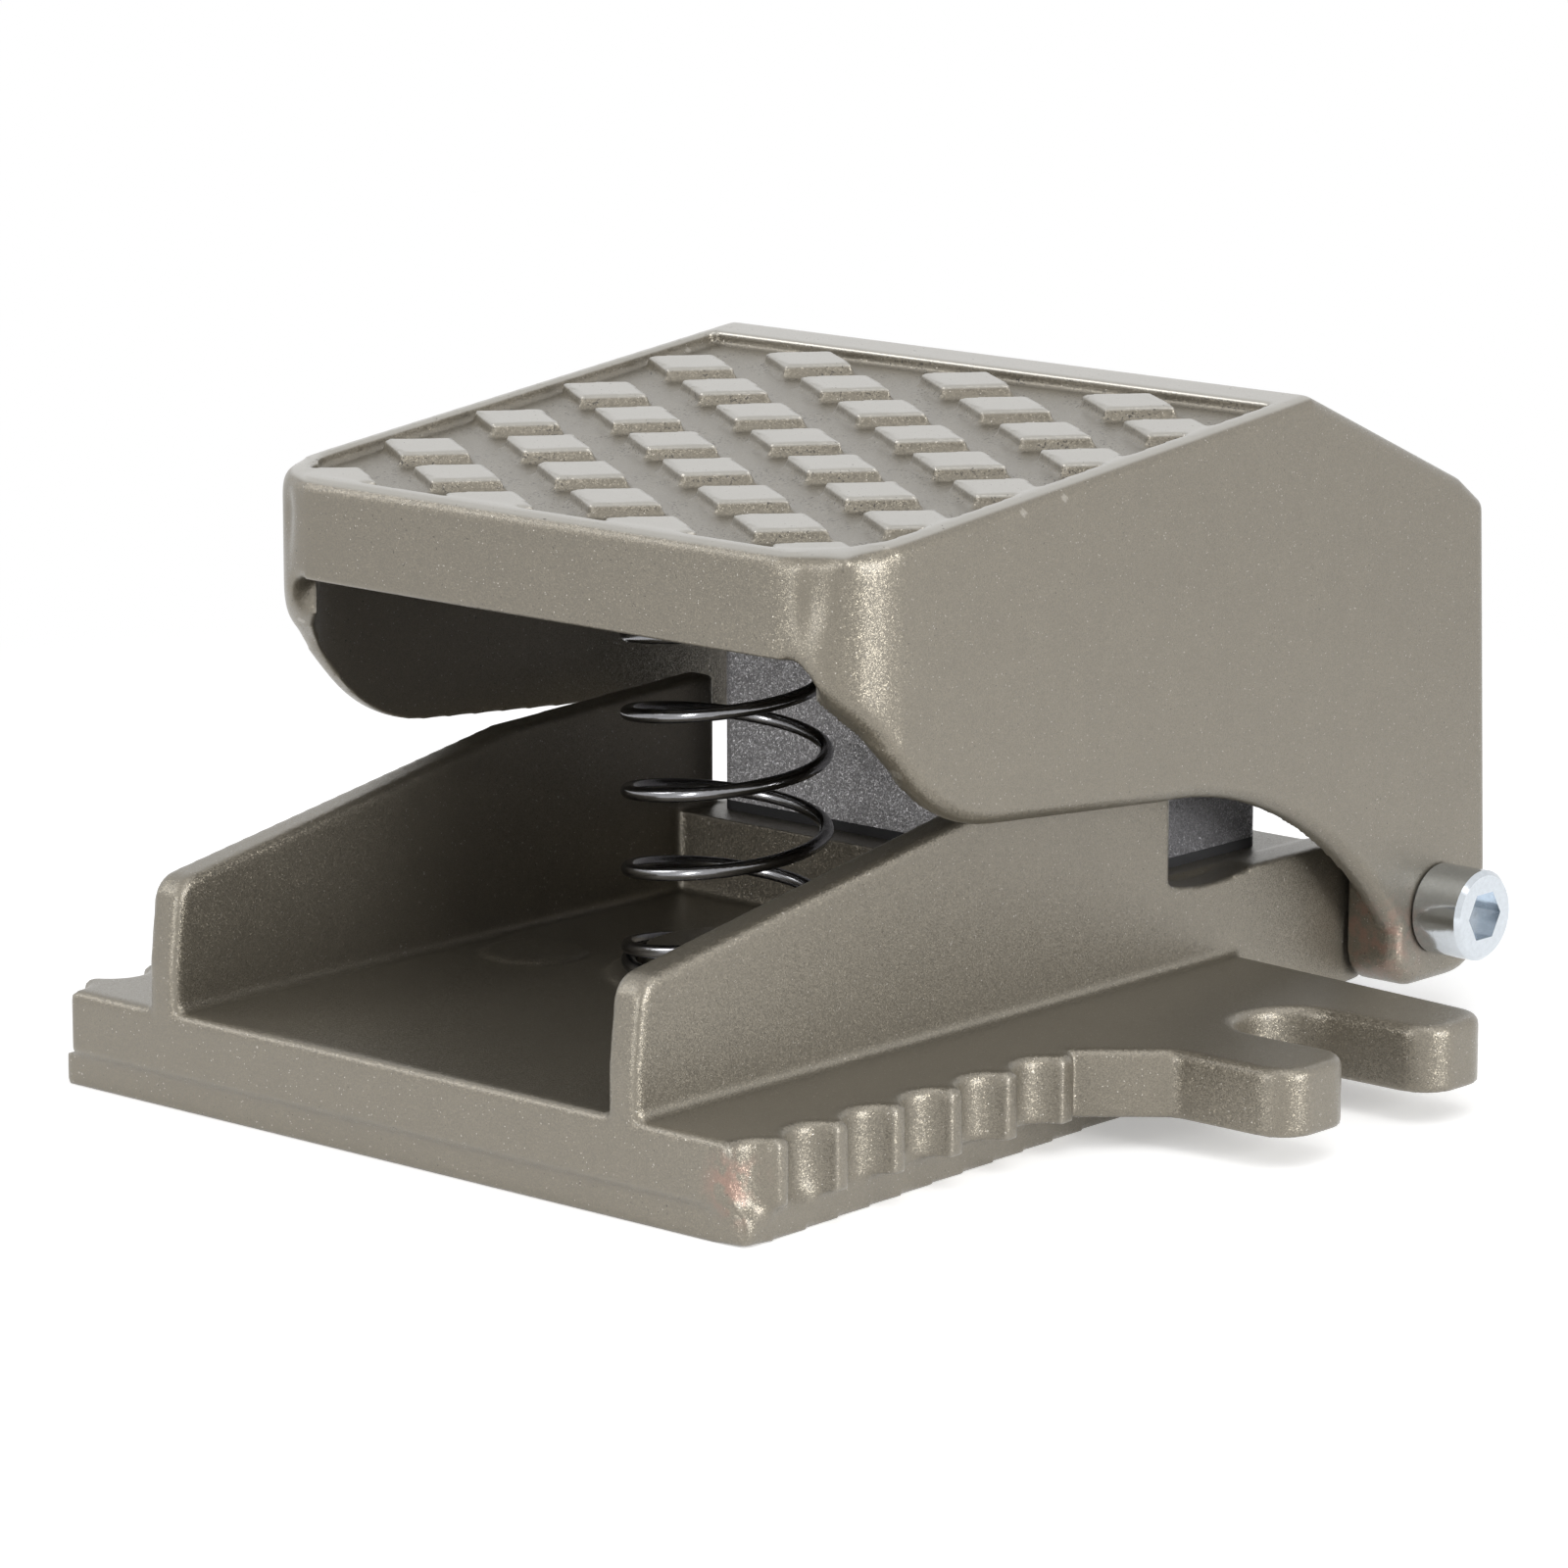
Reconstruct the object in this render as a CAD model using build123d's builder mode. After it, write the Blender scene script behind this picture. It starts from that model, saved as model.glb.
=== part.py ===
"""Foot pedal air valve: a die-cast base, a hinged treadle and a spool valve that the treadle works.

Millimetres, +Z up, X across, Y from the toe to the heel. The origin lies on the ground,
midway between the base's front edge and the treadle's rear edge.
"""

import os
from math import cos, radians, sin, tan

from build123d import *

os.makedirs("parts", exist_ok=True)

# Overall: the height is that of the treadle's ridge
overall_length = 130.0
overall_height = 71.4
front_y = -overall_length / 2

# Pivot: its place from the heel, and its pieces
pivot_setback = 9.3
pivot_y = overall_length - pivot_setback
pivot_z = 12.2
pivot_end_radius = 7.6
screw_radius = 3.0
head_radius = 5.0
head_height = 6.0
head_socket = 5.0
head_socket_depth = 3.0
sleeve_radius = 4.0
washer_radius = 6.0
washer_thickness = 1.0
nut_across_flats = 10.0
nut_height = 5.0
fit_clearance = 0.05
side_clearance = 0.3

# Base casting: places are measured from its front edge and from the ground
rim_height = 3.4
rim_half_front = 48.4
rim_half_ears = 44.0
rim_half_rear = 42.0
rim_wall = 4.0
rib_width = 5.0
flange_half = 49.3
flange_thickness = 7.15
floor_top = rim_height + flange_thickness
floor_setback = 8.7
floor_end = pivot_y - floor_setback
cast_radius = 1.0
grip_count = 6
grip_pitch = 8.6
grip_first = 0.85
grip_width = 6.9
grip_depth = 2.65
grip_end = 49.0
root_inset = 1.2
ear_front = 57.0
ear_root = 56.0
ear_half = 70.6
ear_rear = 91.4
ear_heel = 94.4
ear_radius = 4.0
root_radius = 2.5
slot_centre_x = 57.8
slot_centre_y = 74.65
slot_radius = 6.3

# Side walls of the base
wall_outer = 34.6
wall_thickness = 4.0
wall_inner = wall_outer - wall_thickness
wall_nose_low = 15.7
wall_nose_high = 24.3
wall_nose_lean = 1.0
wall_nose_radius = 3.2
wall_mid_y = 50.8
wall_mid_z = 32.9
wall_top = 34.2
notch_setback = 37.9
notch_front = pivot_y - notch_setback
notch_floor = pivot_z + pivot_end_radius
scallop_inset = 0.6
scallop_length = 14.0
scallop_depth = 0.8
scallop_start = notch_front + scallop_inset
scallop_end = scallop_start + scallop_length
foot_radius = 0.7
wall_edge_radius = 0.8

# Seats on the base's floor
pad_setback = 43.7
pad_front = pivot_y - pad_setback
pad_top = 19.6
disc_x = -21.8
disc_y = 44.4
disc_radius = 5.5
disc_height = 0.5
spring_y = 51.3
spring_seat_radius = 12.6
spring_seat_height = 0.6

# Treadle
skirt_thickness = 2.8
ear_gap = 0.6
ear_boss_depth = 3.9
ear_boss_half = wall_outer + ear_gap
treadle_half = ear_boss_half + ear_boss_depth + skirt_thickness
roof_thickness = 4.3
roof_ridge_shift = 0.6
treadle_front = 22.0
tread_slope = 6.0
ridge_setback = 32.8
ridge_y = overall_length - ridge_setback
lip_top = overall_height - (ridge_y - treadle_front) * tan(radians(tread_slope))
lip_height = 10.6
lip_bottom = lip_top - lip_height
skirt_drop = 12.1
skirt_top = lip_top - skirt_drop
slope_end_setback = 5.9
slope_end_y = overall_length - slope_end_setback
slope_end_z = overall_height - skirt_drop
heel_chamfer_setback = 1.7
heel_chamfer_y = overall_length - heel_chamfer_setback
heel_chamfer_drop = 3.1
heel_chamfer_z = slope_end_z - heel_chamfer_drop
heel_low_z = 16.0
heel_radius = 6.0
ear_bottom = 4.0
ear_reach = 7.5
ear_front_y = pivot_y - ear_reach
ear_front_radius = 4.0
ear_boss_top = 24.0
arch_foot_z = 11.0
arch_mid_setback = 22.1
arch_mid_y = pivot_y - arch_mid_setback
arch_mid_z = 24.2
arch_top_setback = 47.7
arch_top_y = pivot_y - arch_top_setback
arch_top_z = 31.4
skirt_corner_y = 38.3
skirt_corner_z = 34.2
skirt_corner_radius = 20.0
corner_chamfer = 5.2
corner_radius = 2.5
window_top = 35.0
window_radius = 5.0
treadle_edge_radius = 1.6
spring_pad_drop = 3.3
spring_pad_z = lip_top - spring_pad_drop
spring_pad_radius = 12.5
spring_spigot_radius = 8.8
spring_spigot_height = 2.5
roof_rib_x = 20.0
roof_rib_thickness = 2.6
roof_rib_depth = 3.0

# Tread pattern on the treadle
pattern_depth = 1.5
pattern_rim = 2.3
pattern_corner_radius = 8.0
pattern_setback = 4.5
pattern_end = ridge_y - pattern_setback
block_half_length = 6.9
block_half_width = 4.2
block_column_pitch = 11.3
block_row_pitch = 13.8
block_first_x = -32.0
block_first_row = 25.4
block_columns = 7
block_rows = 6
block_draft = 13.0
block_sink = 0.05

# Return spring of the treadle
spring_mean_radius = 10.5
spring_wire = 1.5
spring_pitch = 8.4
spring_gap = 0.2
spring_turn = 163.0
coil_rise_ratio = 0.6

# Valve body
body_side_gap = 2.4
body_half = wall_inner - body_side_gap
body_length = 25.0
body_setback = 14.4
body_rear = pivot_y - body_setback
body_front = body_rear - body_length
gasket_thickness = 1.1
body_bottom = pad_top + gasket_thickness
body_top = 51.2
body_corner_radius = 1.6
port_pitch = 18.0
port_z = 27.5
port_radius = 4.283
port_depth = 10.0
port_chamfer = 0.7
passage_radius = 2.0
passage_back = 2.5
bore_z = 42.0
bore_radius = 6.0
bore_end_wall = 3.0

# Screws that hold the valve body to the base, from below
mount_screw_radius = 2.5
mount_head_radius = 4.25
mount_head_height = 5.0
mount_head_seat = 10.0
mount_washer_radius = 4.6
mount_washer_thickness = 1.0
mount_screw_bite = 8.0
mount_front_x = 20.0
mount_front_inset = 6.0
mount_rear_x = 9.0
mount_rear_inset = 5.0
mount_ring_wall = 3.75
mount_socket = 4.0

# Rear cap of the valve
cap_half_width = 13.5
cap_half_height = 6.5
cap_thickness = 3.2
cap_gasket = 0.5
cap_screw_x = 10.0
cap_screw_radius = 1.5
cap_screw_head_radius = 2.75
cap_screw_head_height = 3.0
cap_screw_bite = 7.0
cap_screw_socket = 2.5
seal_radius = 5.0
seal_thickness = 1.4

# Spool, pusher and adjusting screw
rod_radius = 3.0
spool_length = 11.6
spool_clearance = 0.06
spool_waist_radius = 4.0
ring_section = 0.9
ring_count = 3
spool_spring_mean_radius = 3.6
spool_spring_wire = 0.7
spool_spring_pitch = 2.6
pusher_reach = 7.5
contact_gap = 0.3
adjuster_tip_radius = 1.5
adjuster_tip_length = 2.0
adjuster_recess = 0.4
adjuster_socket = 3.0
adjuster_boss_radius = 6.5
adjuster_boss_setback = 5.8
adjuster_boss_face = overall_length - adjuster_boss_setback
locknut_height = 3.2

# Planes: places along Y start at the base's front edge
ground = Plane(origin=(0, front_y, 0))
side = Plane(origin=(0, front_y, 0), x_dir=(0, 1, 0), z_dir=(1, 0, 0))
pivot_side = Plane(origin=(0, front_y + pivot_y, pivot_z), x_dir=(0, 1, 0), z_dir=(1, 0, 0))
bore_side = Plane(origin=(0, front_y, bore_z), x_dir=(0, 1, 0), z_dir=(1, 0, 0))
bore_axis = Axis((0, front_y, bore_z), (0, 1, 0))

both_sides = (1, -1)
pick_reach = 0.1


def facing_rear(y, z=0.0):
    """Plane across the part at y from the front edge, facing the heel, with Z up."""
    return Plane(origin=(0, front_y + y, z), x_dir=(-1, 0, 0), z_dir=(0, 1, 0))


def treadle_top_z(y):
    """Height of the treadle's top face at y from the front edge."""
    return lip_top + (y - treadle_front) * tan(radians(tread_slope))


ridge_z = treadle_top_z(ridge_y)


def coil_spring(mean_radius, wire, pitch, length):
    """Compression spring with closed ends, standing on the ground plane's origin."""
    coil_rise = coil_rise_ratio * wire
    with BuildPart() as spring:
        with BuildLine(Plane.XY.offset(coil_rise)):
            coil = Helix(pitch=pitch, height=length - 2 * coil_rise, radius=mean_radius)
        with BuildSketch(Plane(coil @ 0, z_dir=coil % 0)):
            Circle(wire / 2)
        sweep(path=coil, is_frenet=True)
        for level in (wire / 2, length - wire / 2):
            with BuildSketch(Plane.XZ.rotated((0, 0, 45))):
                with Locations((mean_radius, level)):
                    Circle(wire / 2)
            revolve(axis=Axis.Z)
    return spring.part


def write(builder, label):
    """Label a finished piece and write its file."""
    builder.part.label = label
    export_step(builder.part, f"parts/{label}.step")


# Base casting
with BuildPart() as base:
    # Flange with finger grips and a forked ear on each side
    with BuildSketch(ground.offset(rim_height)) as flange:
        with BuildLine():
            Polyline((0, 0), (flange_half, 0), (flange_half, grip_end),
                     (flange_half - root_inset, grip_end + root_inset), (ear_root, ear_front),
                     (ear_half, ear_front), (ear_half, ear_rear), (wall_outer, ear_heel),
                     (wall_outer, floor_end), (0, floor_end), (0, 0))
        make_face()
        slot_reach = ear_half - slot_centre_x
        with Locations((slot_centre_x, slot_centre_y)):
            Circle(slot_radius, mode=Mode.SUBTRACT)
        with Locations((slot_centre_x + slot_reach / 2, slot_centre_y)):
            Rectangle(slot_reach, 2 * slot_radius, mode=Mode.SUBTRACT)
        grip_radius = (grip_width**2 / 4 + grip_depth**2) / (2 * grip_depth)
        grip_x = flange_half + grip_radius - grip_depth
        with Locations(*[(grip_x, grip_first + grip * grip_pitch) for grip in range(grip_count)]):
            Circle(grip_radius, mode=Mode.SUBTRACT)
        fillet(flange.vertices().filter_by(lambda v: v.X > ear_half - pick_reach), ear_radius)
        fillet(flange.vertices().filter_by(lambda v: abs(v.X - ear_root) < pick_reach), root_radius)
        mirror(about=Plane.YZ)
    extrude(amount=flange_thickness)
    fillet(base.edges().group_by(Axis.Z)[-1], cast_radius)
    # Rim that stands on the ground, with ribs flush with it
    mount_screw_places = [
        (hand * mount_front_x, body_front + mount_front_inset) for hand in both_sides
    ] + [
        (hand * mount_rear_x, body_rear - mount_rear_inset) for hand in both_sides
    ]
    with BuildSketch(ground):
        with BuildLine():
            Polyline((0, 0), (rim_half_front, 0), (rim_half_ears, ear_front), (rim_half_rear, ear_rear),
                     (wall_outer, ear_heel), (wall_outer, floor_end), (0, floor_end))
            mirror(about=Plane.YZ)
        make_face()
        offset(amount=-rim_wall, mode=Mode.SUBTRACT)
        with Locations((0, floor_end / 2)):
            Rectangle(rib_width, floor_end - rim_wall)
        for rib_y in (spring_y - spring_seat_radius - rib_width, spring_y + spring_seat_radius + rib_width):
            with Locations((0, rib_y)):
                Rectangle(2 * rim_half_rear, rib_width)
        with Locations((0, spring_y)):
            Circle(spring_seat_radius)
        with Locations(*mount_screw_places):
            Circle(mount_head_radius + mount_ring_wall)
    extrude(amount=rim_height)
    # Side walls that carry the pivot
    with BuildSketch(side.offset(wall_inner), side.offset(-wall_outer)) as walls:
        with BuildLine():
            Polyline((0, rim_height), (0, wall_nose_low), (wall_nose_lean, wall_nose_high),
                     (wall_mid_y, wall_mid_z), (notch_front, wall_top), (notch_front, notch_floor),
                     (scallop_start, notch_floor))
            ThreePointArc((scallop_start, notch_floor),
                          ((scallop_start + scallop_end) / 2, notch_floor - scallop_depth),
                          (scallop_end, notch_floor))
            Line((scallop_end, notch_floor), (pivot_y, pivot_z + pivot_end_radius))
            RadiusArc((pivot_y, pivot_z + pivot_end_radius), (pivot_y, pivot_z - pivot_end_radius),
                      pivot_end_radius)
            Polyline((pivot_y, pivot_z - pivot_end_radius), (floor_end, rim_height), (0, rim_height))
        make_face()
        fillet(walls.vertices().filter_by(lambda v: abs(v.Y - wall_nose_high) < pick_reach), wall_nose_radius)
    extrude(amount=wall_thickness)
    wall_rims = base.edges().filter_by(
        lambda e: e.center().Z > floor_top + cast_radius and abs((e % 0.5).X) < 0.01
        and e.center().Y < front_y + notch_front and e.length > 2 * cast_radius)
    fillet(wall_rims, wall_edge_radius)
    wall_feet = base.edges().filter_by(Axis.Y).filter_by(
        lambda e: abs(e.center().Z - floor_top) < pick_reach and abs(e.center().X) < wall_outer + pick_reach
        and e.length > slot_centre_y)
    fillet(wall_feet, foot_radius)
    # Seat of the valve body
    with BuildSketch(ground.offset(floor_top)):
        with Locations((0, (pad_front + floor_end) / 2)):
            Rectangle(2 * wall_inner, floor_end - pad_front)
    extrude(amount=pad_top - floor_top)
    # Spring seat and a small cast disc
    with BuildSketch(ground.offset(floor_top)):
        with Locations((0, spring_y)):
            Circle(spring_seat_radius)
    extrude(amount=spring_seat_height)
    with BuildSketch(ground.offset(floor_top + spring_seat_height)):
        with Locations((0, spring_y)):
            Circle(spring_spigot_radius)
    extrude(amount=spring_spigot_height)
    with BuildSketch(ground.offset(floor_top)):
        with Locations((disc_x, disc_y)):
            Circle(disc_radius)
    extrude(amount=disc_height)
    # Holes for the pivot screws and for the valve body's screws
    with BuildSketch(pivot_side.offset(-wall_outer)):
        Circle(screw_radius + fit_clearance)
    extrude(amount=2 * wall_outer, mode=Mode.SUBTRACT)
    with BuildSketch(ground):
        with Locations(*mount_screw_places):
            Circle(mount_washer_radius + fit_clearance)
    extrude(amount=mount_head_seat, mode=Mode.SUBTRACT)
    with BuildSketch(ground):
        with Locations(*mount_screw_places):
            Circle(mount_screw_radius + fit_clearance)
    extrude(amount=pad_top, mode=Mode.SUBTRACT)
write(base, "base")

# Room inside the treadle, open below
heel_slope = (overall_length - heel_chamfer_y) / (heel_chamfer_z - heel_low_z)
with BuildPart() as treadle_room:
    with BuildSketch(side):
        inner_front = treadle_front + skirt_thickness
        inner_ridge_y = ridge_y - roof_ridge_shift
        inner_top = ridge_z - roof_thickness
        inner_heel_y = heel_chamfer_y - skirt_thickness
        slope_fall = (ridge_z - slope_end_z) / (slope_end_y - ridge_y)
        with BuildLine():
            Polyline((inner_front, 0), (inner_front, treadle_top_z(inner_front) - roof_thickness),
                     (inner_ridge_y, treadle_top_z(inner_ridge_y) - roof_thickness),
                     (inner_heel_y, inner_top - (inner_heel_y - inner_ridge_y) * slope_fall),
                     (inner_heel_y + heel_slope * heel_chamfer_z, 0), (inner_front, 0))
        make_face()
    extrude(amount=treadle_half - skirt_thickness, both=True)
    chamfer(treadle_room.edges().filter_by(Axis.Z).group_by(Axis.Y)[0], corner_chamfer - skirt_thickness / 2)

# Treadle casting
tread_origin = Vector(0, front_y + treadle_front, lip_top)
tread = Plane(origin=tread_origin, x_dir=(1, 0, 0),
              z_dir=(0, -sin(radians(tread_slope)), cos(radians(tread_slope))))
with BuildPart() as pedal:
    with BuildSketch(side) as outline:
        with BuildLine():
            Polyline((treadle_front, skirt_top), (treadle_front, lip_top), (ridge_y, ridge_z),
                     (slope_end_y, slope_end_z), (heel_chamfer_y, heel_chamfer_z),
                     (overall_length, heel_low_z), (overall_length, ear_bottom), (ear_front_y, ear_bottom),
                     (ear_front_y, arch_foot_z))
            ThreePointArc((ear_front_y, arch_foot_z), (arch_mid_y, arch_mid_z), (arch_top_y, arch_top_z))
            Polyline((arch_top_y, arch_top_z), (skirt_corner_y, skirt_corner_z), (treadle_front, skirt_top))
        make_face()
        fillet(outline.vertices().sort_by_distance((ear_front_y, ear_bottom, 0))[0:1], ear_front_radius)
        fillet(outline.vertices().sort_by_distance((overall_length, ear_bottom, 0))[0:1], heel_radius)
        fillet(outline.vertices().sort_by_distance((skirt_corner_y, skirt_corner_z, 0))[0:1],
               skirt_corner_radius)
    extrude(amount=treadle_half, both=True)
    chamfer(pedal.edges().filter_by(Axis.Z).group_by(Axis.Y)[0], corner_chamfer)
    fillet(pedal.edges().filter_by(Axis.Z).filter_by(lambda e: e.center().Y < front_y + skirt_corner_y),
           corner_radius)
    roof_faces = pedal.faces().filter_by(lambda f: f.normal_at().Z > 0.7)
    ridge_edge = pedal.edges().filter_by(Axis.X).group_by(Axis.Z)[-1]
    slope_foot = pedal.edges().filter_by(Axis.X).sort_by(lambda e: abs(e.center().Z - slope_end_z))[0:1]
    side_faces = pedal.faces().filter_by(Axis.X).filter_by(
        lambda f: abs(f.center().X) > treadle_half - pick_reach)
    fillet((roof_faces.edges() + side_faces.edges()) - ridge_edge - slope_foot, treadle_edge_radius)
    add(treadle_room.part, mode=Mode.SUBTRACT)
    # Level lower edge of the lip, between the corner chamfers
    lip_half = treadle_half - corner_chamfer
    with BuildSketch(facing_rear(inner_front)) as lip_opening:
        with BuildLine():
            Polyline((0, lip_bottom), (lip_half, lip_bottom),
                     (lip_half, 0), (0, 0))
            mirror(about=Plane.YZ)
        make_face()
        fillet(lip_opening.vertices().group_by(Axis.Y)[-1].filter_by(lambda v: abs(v.X) > lip_half / 2),
               skirt_thickness)
    extrude(amount=-skirt_thickness - cast_radius, mode=Mode.SUBTRACT)
    # Bosses that bring the ears in to the base's walls
    with BuildSketch(side.offset(ear_boss_half), side.offset(-treadle_half + skirt_thickness / 2)) as boss:
        with BuildLine():
            Polyline((ear_front_y, ear_bottom), (overall_length, ear_bottom), (overall_length, ear_boss_top),
                     (ear_front_y, ear_boss_top), (ear_front_y, ear_bottom))
        make_face()
        fillet(boss.vertices().sort_by_distance((ear_front_y, ear_bottom, 0))[0:1], ear_front_radius)
        fillet(boss.vertices().sort_by_distance((overall_length, ear_bottom, 0))[0:1], heel_radius)
    extrude(amount=treadle_half - skirt_thickness / 2 - ear_boss_half)
    # Heel window for the air lines
    with BuildSketch(facing_rear(ear_front_y)) as window:
        with Locations((0, window_top / 2)):
            Rectangle(2 * ear_boss_half, window_top)
        fillet(window.vertices().group_by(Axis.Y)[-1], window_radius)
    extrude(amount=overall_length - ear_front_y + cast_radius, mode=Mode.SUBTRACT)
    # Boss and thread for the adjusting screw
    with BuildSketch(facing_rear(adjuster_boss_face, bore_z)):
        Circle(adjuster_boss_radius)
    extrude(amount=inner_heel_y - adjuster_boss_face + heel_slope * heel_chamfer_z)
    with BuildSketch(facing_rear(adjuster_boss_face - cast_radius, bore_z)):
        Circle(rod_radius + fit_clearance)
    extrude(amount=overall_length - adjuster_boss_face + 2 * cast_radius, mode=Mode.SUBTRACT)
    # Seat and spigot for the return spring, under the roof
    with BuildSketch(ground.offset(spring_pad_z)):
        with Locations((0, spring_y)):
            Circle(spring_pad_radius)
    extrude(until=Until.NEXT)
    with BuildSketch(ground.offset(spring_pad_z)):
        with Locations((0, spring_y)):
            Circle(spring_spigot_radius)
    extrude(amount=-spring_spigot_height)
    # Ribs along the roof's underside
    with BuildSketch(side.offset(roof_rib_x - roof_rib_thickness / 2),
                     side.offset(-roof_rib_x - roof_rib_thickness / 2)):
        rib_start = inner_front - cast_radius
        rib_end = inner_ridge_y
        rib_drop = roof_thickness + roof_rib_depth
        with BuildLine():
            Polyline((rib_start, treadle_top_z(rib_start) - roof_thickness / 2),
                     (rib_end, treadle_top_z(rib_end) - roof_thickness / 2),
                     (rib_end, treadle_top_z(rib_end) - rib_drop),
                     (rib_start, treadle_top_z(rib_start) - rib_drop),
                     (rib_start, treadle_top_z(rib_start) - roof_thickness / 2))
        make_face()
    extrude(amount=roof_rib_thickness)
    # Pivot bores
    with BuildSketch(pivot_side.offset(-treadle_half)):
        Circle(sleeve_radius + fit_clearance)
    extrude(amount=2 * treadle_half, mode=Mode.SUBTRACT)
    # Sunk field of the tread, and its rhombic blocks
    field_half = treadle_half - pattern_rim
    field_end = (pattern_end - treadle_front) / cos(radians(tread_slope))
    with BuildSketch(tread) as field:
        with Locations((0, (pattern_rim + field_end) / 2)):
            Rectangle(2 * field_half, field_end - pattern_rim)
        fillet(field.vertices().group_by(Axis.Y)[0], pattern_corner_radius)
    extrude(amount=-pattern_depth, mode=Mode.SUBTRACT)
    block_places = []
    for column in range(block_columns):
        column_x = block_first_x + column * block_column_pitch
        row_start = block_first_row + (block_row_pitch / 2 if column % 2 else 0)
        for row in range(block_rows):
            row_y = (row_start + row * block_row_pitch - treadle_front) / cos(radians(tread_slope))
            if 0 < row_y < field_end:
                block_places.append((column_x, row_y))
    with BuildSketch(tread.offset(-pattern_depth)) as blocks:
        with Locations(*block_places):
            Polygon((block_half_length, 0), (0, block_half_width), (-block_half_length, 0),
                    (0, -block_half_width))
        with Locations((0, (field_end + pattern_rim) / 2)):
            Rectangle(2 * field_half + pattern_rim, field_end - pattern_rim / 2, mode=Mode.INTERSECT)
    extrude(amount=pattern_depth - block_sink, taper=block_draft)
write(pedal, "pedal")

# Springs
with BuildPart() as pedal_return_spring:
    spring_foot = floor_top + spring_seat_height + spring_gap
    with Locations(Location((0, front_y + spring_y, spring_foot), (0, 0, spring_turn))):
        add(coil_spring(spring_mean_radius, spring_wire, spring_pitch,
                        spring_pad_z - spring_gap - spring_foot))
write(pedal_return_spring, "pedal_return_spring")

# Pivot: screws through spacer sleeves into the walls, with locknuts inside
sleeve_end = treadle_half + side_clearance
with BuildPart() as pivot_sleeves:
    with BuildSketch(pivot_side.offset(wall_outer)):
        Circle(sleeve_radius)
        Circle(screw_radius + fit_clearance, mode=Mode.SUBTRACT)
    extrude(amount=sleeve_end - wall_outer)
    mirror(about=Plane.YZ)
write(pivot_sleeves, "pivot_sleeves")

nut_end = wall_inner - washer_thickness - nut_height
with BuildPart() as pivot_screws:
    with BuildSketch(pivot_side.offset(nut_end - cast_radius)):
        Circle(screw_radius)
    extrude(amount=sleeve_end - nut_end + cast_radius)
    with BuildSketch(pivot_side.offset(sleeve_end)):
        Circle(head_radius)
    extrude(amount=head_height)
    chamfer(pivot_screws.edges().group_by(Axis.X)[-1], cast_radius / 2)
    with BuildSketch(pivot_side.offset(sleeve_end + head_height)):
        RegularPolygon(head_socket / 2, 6, major_radius=False)
    extrude(amount=-head_socket_depth, mode=Mode.SUBTRACT)
    mirror(about=Plane.YZ)
write(pivot_screws, "pivot_screws")

with BuildPart() as pivot_washers:
    with BuildSketch(pivot_side.offset(wall_inner - washer_thickness)):
        Circle(washer_radius)
        Circle(screw_radius + fit_clearance, mode=Mode.SUBTRACT)
    extrude(amount=washer_thickness)
    mirror(about=Plane.YZ)
write(pivot_washers, "pivot_washers")

with BuildPart() as pivot_locknuts:
    with BuildSketch(pivot_side.offset(nut_end)):
        RegularPolygon(nut_across_flats / 2, 6, major_radius=False)
        Circle(screw_radius + fit_clearance, mode=Mode.SUBTRACT)
    extrude(amount=nut_height)
    mirror(about=Plane.YZ)
write(pivot_locknuts, "pivot_locknuts")

# Valve body on its gasket
with BuildPart() as body_gasket:
    with BuildSketch(ground.offset(pad_top)):
        with Locations((0, (body_front + body_rear) / 2)):
            RectangleRounded(2 * body_half, body_length, body_corner_radius)
        with Locations(*mount_screw_places):
            Circle(mount_screw_radius + fit_clearance, mode=Mode.SUBTRACT)
    extrude(amount=gasket_thickness)
write(body_gasket, "body_gasket")

port_places = [(offset_x, port_z) for offset_x in (-port_pitch, 0, port_pitch)]
cap_screw_places = [(hand * cap_screw_x, 0) for hand in both_sides]
bore_end = body_front + bore_end_wall
with BuildPart() as valve_body:
    with BuildSketch(ground.offset(body_bottom)):
        with Locations((0, (body_front + body_rear) / 2)):
            RectangleRounded(2 * body_half, body_length, body_corner_radius)
    extrude(amount=body_top - body_bottom)
    chamfer(valve_body.edges().group_by(Axis.Z)[-1], cast_radius / 2)
    # Spool bore, blind at the toe end
    with BuildSketch(facing_rear(bore_end, bore_z)):
        Circle(bore_radius)
    extrude(amount=body_rear - bore_end, mode=Mode.SUBTRACT)
    # Ports with their thread runs, and the passages up to the bore
    with BuildSketch(facing_rear(body_rear - port_depth)):
        with Locations(*port_places):
            Circle(port_radius)
    extrude(amount=port_depth, mode=Mode.SUBTRACT)
    passage_y = front_y + body_rear - port_depth + passage_back
    for port_x, port_height in port_places:
        start = Vector(port_x, passage_y, port_height)
        reach = Vector(0, passage_y, bore_z) - start
        with BuildSketch(Plane(start, z_dir=reach)):
            Circle(passage_radius)
        extrude(amount=reach.length, mode=Mode.SUBTRACT)
    # Tapped holes for the screws from below and for the cap's screws
    with BuildSketch(ground.offset(body_bottom)):
        with Locations(*mount_screw_places):
            Circle(mount_screw_radius + fit_clearance)
    extrude(amount=mount_screw_bite, mode=Mode.SUBTRACT)
    with BuildSketch(facing_rear(body_rear, bore_z)):
        with Locations(*cap_screw_places):
            Circle(cap_screw_radius + fit_clearance)
    extrude(amount=-cap_screw_bite, mode=Mode.SUBTRACT)
    port_mouths = valve_body.edges().filter_by(GeomType.CIRCLE).filter_by(
        lambda e: abs(e.radius - port_radius) < pick_reach
        and e.center().Y > front_y + body_rear - pick_reach)
    chamfer(port_mouths, port_chamfer)
write(valve_body, "valve_body")

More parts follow.
